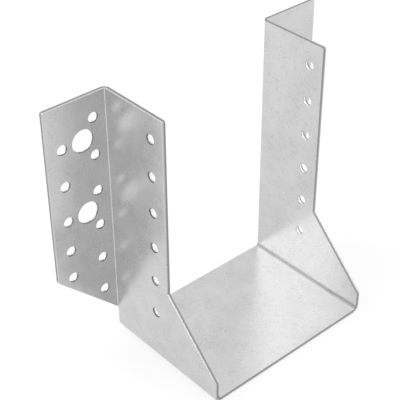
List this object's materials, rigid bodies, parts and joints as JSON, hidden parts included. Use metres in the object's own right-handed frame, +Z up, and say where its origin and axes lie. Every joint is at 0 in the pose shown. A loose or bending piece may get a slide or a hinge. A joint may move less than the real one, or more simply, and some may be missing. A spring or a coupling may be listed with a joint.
{
  "type": "joist hanger",
  "caption": "Face-fixed joist hanger folded from a single steel sheet: a seat and side plates hold the joist, outward wings with nail and bolt holes fix it to the header.",
  "frame": {"origin": "middle of the footprint, on the underside of the seat", "axes": "+Z up, +X across the joist, +Y towards the header that the wings lie against; the joist comes in from -Y"},
  "size_m": [0.17, 0.0764, 0.1425],
  "materials": {
    "galvanised_sheet": "hot-dip galvanised, fine matt spangle"
  },
  "bodies": {
    "root": {"joist_hanger": "galvanised_sheet"}
  },
  "joints": []
}
